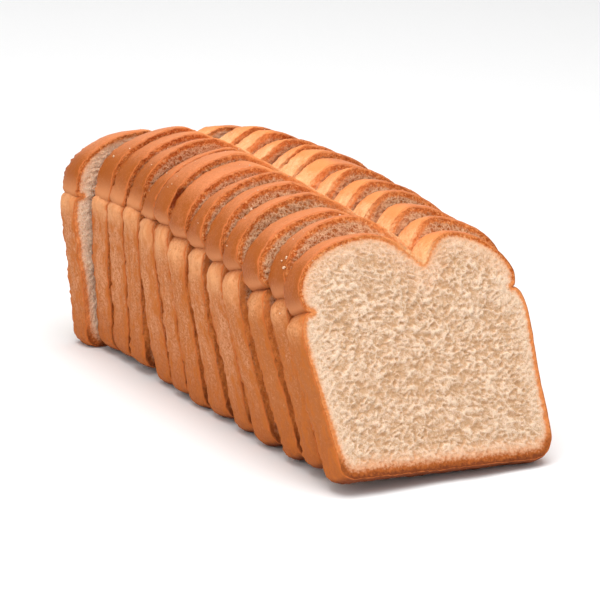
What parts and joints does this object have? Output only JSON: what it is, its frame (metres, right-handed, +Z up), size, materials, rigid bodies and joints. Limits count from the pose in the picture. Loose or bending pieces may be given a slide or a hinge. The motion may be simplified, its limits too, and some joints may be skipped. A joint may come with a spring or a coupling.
{
  "type": "sliced tin loaf",
  "caption": "Sliced split-top white tin loaf, its slices standing in baked order and leaning back on one another with their feet drawn a little apart",
  "frame": {"origin": "under the middle of the loaf's bounding box, on the surface it stands on", "axes": "+Z up, +Y from the cut front slice towards the last slice, +X to the right seen from the front"},
  "size_m": [0.1214, 0.2298, 0.1051],
  "materials": {
    "bread": "browned crust over pale open crumb"
  },
  "bodies": {
    "root": {"slice_01": "bread", "slice_02": "bread", "slice_03": "bread", "slice_04": "bread", "slice_05": "bread", "slice_06": "bread", "slice_07": "bread", "slice_08": "bread", "slice_09": "bread", "slice_10": "bread", "slice_11": "bread", "slice_12": "bread", "slice_13": "bread"}
  },
  "joints": []
}
